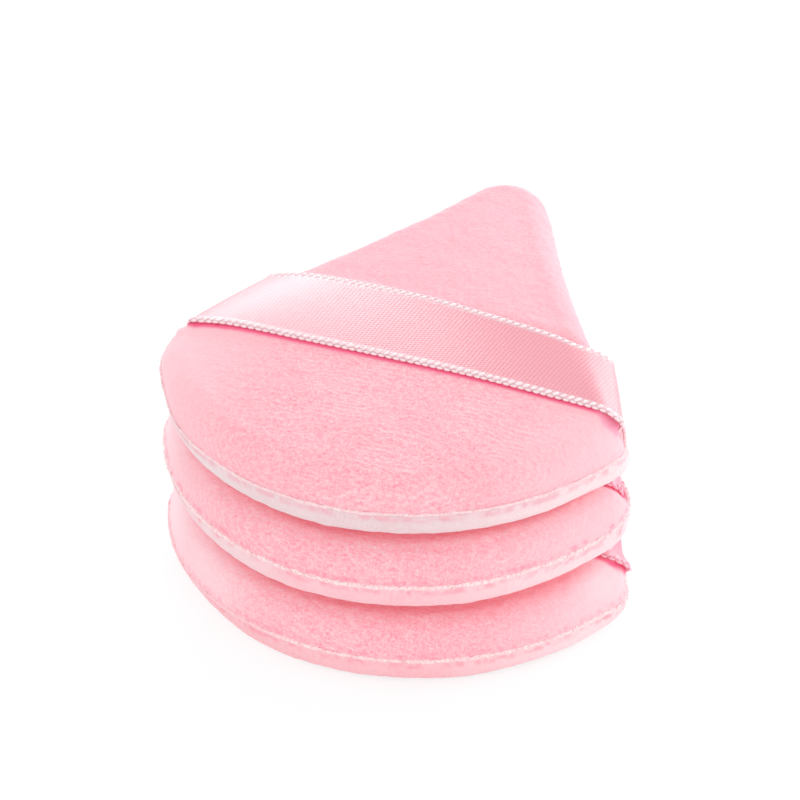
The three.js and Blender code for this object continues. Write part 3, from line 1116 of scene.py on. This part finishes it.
def make_band(puff, cloth, seed):
    rim = 8 * FACE_GRID
    top = math.asin(SEAM_OVERLAP / RIM_HEIGHT)
    inner_top = math.asin(SEAM_OVERLAP / (RIM_HEIGHT - BAND_THICKNESS))
    outer = [rim_ring(rim, 0, -lift) for lift in np.linspace(top, BAND_SWEEP, BAND_STEPS)]
    inner = [rim_ring(rim, BAND_THICKNESS, -lift) for lift in (BAND_SWEEP, BAND_SWEEP / 2, inner_top)]
    shape = Shape()
    shape.hoop(outer + inner)
    mesh = shape.mesh(f"{puff}_rim_band")
    points = mesh_points(mesh)
    place = points + puff_centre(puff)
    rise = lumps(place, BAND_RIPPLE, seed) * settled(points)
    rise[len(outer) * rim:] = 0
    drop = -points[:, 2]
    full_drop = RIM_HEIGHT * math.sin(BAND_SWEEP)
    # Painted shade in a strip just below the seam, in blotches
    seam_shade = sum(noise(place, size * MM, seed + 9) for size in SEAM_SHADE_SIZES) * SEAM_SHADE_CONTRAST
    seam_shade += SEAM_SHADE_AMOUNT[puff]
    below = np.exp(-((drop - SEAM_SHADE_LEVEL) / SEAM_SHADE_HEIGHT) ** 2)
    mark(mesh, PAINTED_SHADE, SEAM_SHADE_DARKNESS * np.clip(seam_shade, 0, 1) * below)
    # Painted sheen along the band's lower edge
    mark(mesh, LOWER_EDGE_SHEEN, np.exp(-((full_drop - drop) / EDGE_SHEEN_HEIGHT) ** 2))
    points += mesh_normals(mesh) * rise[:, None]
    move_points(mesh, give(points, puff))
    band = place_piece(mesh, puff, "side_band", cloth)


def make_core(puff, foam, strap_points):
    rim = 8 * CORE_GRID
    shape = Shape()
    top = shape.patch(*face_patch(CORE_GRID, CORE_DEPTH, 1))
    lifts = np.linspace(math.pi / 2, -math.pi / 2, RIM_STEPS + 1)[1:-1]
    low = shape.loft([rim_ring(rim, CORE_DEPTH, lift) for lift in lifts], top)
    bottom = shape.patch(*face_patch(CORE_GRID, CORE_DEPTH, -1))
    shape.skin(bridge(low, bottom))
    mesh = shape.mesh(f"{puff}_foam_pad")
    rest = give(mesh_points(mesh), puff)
    pressed, _ = press_under_strap(rest, strap_points, CORE_REST_GAP, 0)
    move_points(mesh, pressed)
    core = place_piece(mesh, puff, "foam_core", foam)


# Seam thread

THREAD_RADIUS = by_puff(0.34 * MM, 0.34 * MM, 0.24 * MM)
THREAD_SIDES = 8
THREAD_WANDER = 0.09 * MM
WANDER_SIZE = 1.6 * MM
THREAD_SLUBS = 0.3
SLUB_SIZE = 0.7 * MM
STITCH_PITCH = 1.35 * MM
STITCH_LENGTH = 1 * MM
STITCH_WIDTH = 0.34 * MM
STITCH_LIFTS = (-0.1 * MM, 0.2 * MM)
STITCH_SHIFT = 0.22
STITCH_SIZES = (0.5, 1.15)
STITCH_SLANTS = (0.35, 0.9)
STITCH_SCALE = by_puff(1, 1, 0.55)
FUZZ_PITCH = 0.22 * MM
FUZZ_LENGTH = by_puff(0.42 * MM, 0.42 * MM, 0.28 * MM)
FUZZ_RADIUS = 0.026 * MM
FUZZ_LENGTHS = (0.4, 1.2)
FUZZ_SCATTER = 0.3 * MM
FUZZ_OUTWARD = 0.6
FUZZ_UPWARD = 0.8
FUZZ_BEND = 0.35
FUZZ_TAPER = 0.6
FUZZ_STEPS = 4
FUZZ_SIDES = 3


def seam_frame(share):
    """Points on the outline at the seam, with outward normals and tangents."""
    point, normal = (np.pad(values, ((0, 0), (0, 1))) for values in at_share(share))
    return point, normal, np.cross(UP, normal)


def make_thread(puff, thread, seed):
    count = 8 * FACE_GRID
    point, normal, _ = seam_frame(np.arange(count) / count)
    frame_point = point + puff_centre(puff)
    wander = np.stack([noise(frame_point, WANDER_SIZE, seed + k) for k in (0, 1)], 1) * THREAD_WANDER
    girth = THREAD_RADIUS[puff]
    radius = girth * (1 + THREAD_SLUBS * noise(frame_point, SLUB_SIZE, seed + 2))
    centre = point + normal * (THREAD_PROUD - girth + wander[:, :1])
    centre[:, 2] += wander[:, 1]
    rings = []
    for turn in np.arange(THREAD_SIDES) / THREAD_SIDES * math.tau:
        ring = centre + normal * (radius * math.cos(turn))[:, None]
        ring[:, 2] += radius * math.sin(turn)
        rings.append(ring)
    shape = Shape()
    shape.hoop(rings)
    add_stitches(shape, STITCH_SCALE[puff])
    add_fuzz(shape, FUZZ_LENGTH[puff])
    mesh = shape.mesh(f"{puff}_rim_stitching")
    move_points(mesh, give(mesh_points(mesh), puff))
    place_piece(mesh, puff, "seam_thread", thread)


def add_stitches(shape, size_scale):
    """Overcast stitches that slant over the seam, each a little different."""
    count = int(PERIMETER / STITCH_PITCH)
    spots = (np.arange(count) + RANDOM.uniform(-STITCH_SHIFT, STITCH_SHIFT, count)) / count
    size = RANDOM.uniform(*STITCH_SIZES, count) * size_scale
    slant = RANDOM.uniform(*STITCH_SLANTS, count)
    for point, normal, tangent, scale, rise in zip(*seam_frame(spots), size, slant):
        axis = unit(tangent + UP * rise)
        centre = point + normal * THREAD_PROUD / 2 + UP * RANDOM.uniform(*STITCH_LIFTS)
        width = STITCH_WIDTH * size_scale
        add_grain(shape, centre, axis, np.cross(normal, axis), normal, STITCH_LENGTH * scale,
                  width, width)


def add_fuzz(shape, typical):
    """Fine bent fibres of about the typical length, off the seam."""
    count = int(PERIMETER / FUZZ_PITCH / (1))
    spots = RANDOM.uniform(0, 1, count)
    lean = RANDOM.uniform(-1, 1, (count, 3))
    bend = RANDOM.uniform(-1, 1, (count, 3))
    length = typical * RANDOM.uniform(*FUZZ_LENGTHS, count)
    for point, normal, tangent, tilt, curl, reach in zip(*seam_frame(spots), lean, bend, length):
        start = point + UP * tilt[2] * FUZZ_SCATTER
        forward = unit(normal * FUZZ_OUTWARD + tangent * tilt[0] + UP * tilt[1] * FUZZ_UPWARD)
        side = unit(np.cross(forward, curl))
        other = np.cross(forward, side)
        rings = []
        for step in np.linspace(0, 1, FUZZ_STEPS + 1):
            centre = start + forward * reach * step + side * reach * FUZZ_BEND * step ** 2
            girth = FUZZ_RADIUS * (1 - FUZZ_TAPER * step)
            rings.append(ring_round(centre, side * girth, other * girth, FUZZ_SIDES))
        add_closed(shape, rings)


# The set

# Band tints by puff: warm, pale, and the painted shade below the seam
BAND_TINTS = by_puff(
    (linear(252, 184, 192), linear(255, 204, 211), linear(250, 156, 172)),
    (linear(252, 188, 198), linear(255, 208, 215), linear(248, 162, 178)),
    (linear(230, 200, 203), linear(239, 219, 221), linear(242, 176, 189)),
)
LOWER_THREAD = (linear(250, 196, 203), linear(255, 236, 236))
TOP_THREAD = (linear(246, 196, 204), linear(252, 226, 228))
THREAD_TINTS = by_puff(LOWER_THREAD, LOWER_THREAD, TOP_THREAD)
LEFT_GREY_SHARE = by_puff(0, 0.6, 0.4)
BURIED_SHARE = by_puff(0.85, 0, 0)
SEEDS_PER_PUFF = 20

velour = velour_material()
satin = satin_material()
picot = picot_material()
foam = foam_material()
for order, puff in enumerate(PUFFS):
    seed = SEEDS_PER_PUFF * order
    cloth = band_material(f"{puff}_band_cloth", BAND_TINTS[puff], LEFT_GREY_SHARE[puff])
    thread = thread_material(f"{puff}_seam_thread", THREAD_TINTS[puff], BURIED_SHARE[puff])
    strap_points = make_strap(puff, satin, picot)
    make_face(puff, velour, strap_points, seed + 1)
    make_back(puff, velour, seed + 2)
    make_band(puff, cloth, seed + 3)
    make_thread(puff, thread, seed + 4)
    make_core(puff, foam, strap_points)


# Camera

def bearing(azimuth, elevation):
    """The direction at an azimuth from the front round by the right, and at an elevation."""
    level = math.cos(elevation)
    return Vector((math.sin(azimuth) * level, -math.cos(azimuth) * level, math.sin(elevation)))


def make_camera():
    origin = Vector(puff_centre("top_puff"))
    back = bearing(CAMERA_AZIMUTH, CAMERA_ELEVATION)
    level = Vector((math.cos(CAMERA_AZIMUTH), math.sin(CAMERA_AZIMUTH), 0))
    upright = back.cross(level)
    right = math.cos(CAMERA_ROLL) * level - math.sin(CAMERA_ROLL) * upright
    up = math.sin(CAMERA_ROLL) * level + math.cos(CAMERA_ROLL) * upright
    eye = origin + CAMERA_DISTANCE * back
    aim = origin + AIM_RIGHT * right + AIM_UP * up
    z_axis = (eye - aim).normalized()
    x_axis = (right - right.dot(z_axis) * z_axis).normalized()
    y_axis = z_axis.cross(x_axis)
    data = bpy.data.cameras.new("camera")
    data.lens = CAMERA_LENS
    data.sensor_width = CAMERA_SENSOR
    data.clip_start = CAMERA_DISTANCE / 10
    camera = new_object("camera", data)
    axes = Matrix((x_axis, y_axis, z_axis)).transposed().to_4x4()
    camera.matrix_world = Matrix.Translation(eye) @ axes
    bpy.context.scene.camera = camera


make_camera()


# Floor and light: each lamp has its azimuth and elevation in degrees, distance, size and power

WHITE = (1, 1, 1, 1)
FLOOR_SIZE = 3
FLOOR_BOUNCE = 1
FLOOR_SEEN = 0.25
FLOOR_GLOW = 0.78
WORLD_STRENGTH = 0.96
LIGHT_BOUNCES = 12
LIGHTS = (
    ("front_low", 15, 4, 0.6, 0.7, 0.5),
    ("back_left_low", -146, 10, 0.3, 0.1, 0.035),
    ("back_left", -148, 23, 0.3, 0.1, 0.105),
    ("back_left_high", -155, 35, 0.3, 0.09, 0.055),
    ("back_right", 160, 12, 0.3, 0.2, 0.2),
    ("right", 125, 4, 0.35, 0.25, 0.35),
)


def make_floor():
    half = FLOOR_SIZE / 2
    mesh = bpy.data.meshes.new("floor")
    mesh.from_pydata([(-half, -half, 0), (half, -half, 0), (half, half, 0), (-half, half, 0)], [],
                     [(0, 1, 2, 3)])
    n = Nodes("floor")
    seen = n.camera_ray()
    shade = n.span(seen, 0, 1, FLOOR_BOUNCE, FLOOR_SEEN)
    n.set(Base_Color=shade, Roughness=1, Specular_IOR_Level=0, Emission_Color=WHITE,
          Emission_Strength=n.math("MULTIPLY", seen, FLOOR_GLOW))
    mesh.materials.append(n.owner)
    new_object("floor", mesh)


def make_world():
    n = Nodes("studio", bpy.data.worlds, "Background")
    n.set(Color=WHITE, Strength=n.span(n.camera_ray(), 0, 1, WORLD_STRENGTH))
    bpy.context.scene.world = n.owner


def make_lights():
    target = Vector(puff_centre("middle_puff"))
    for name, azimuth, elevation, distance, size, power in LIGHTS:
        away = bearing(math.radians(azimuth), math.radians(elevation))
        data = bpy.data.lights.new(name, "AREA")
        data.size = size
        data.energy = power
        lamp = new_object(name, data)
        lamp.location = target + away * distance
        lamp.rotation_euler = away.to_track_quat("Z", "Y").to_euler()


make_floor()
make_world()
make_lights()
bpy.context.scene.view_settings.view_transform = "Standard"
bpy.context.scene.cycles.diffuse_bounces = LIGHT_BOUNCES
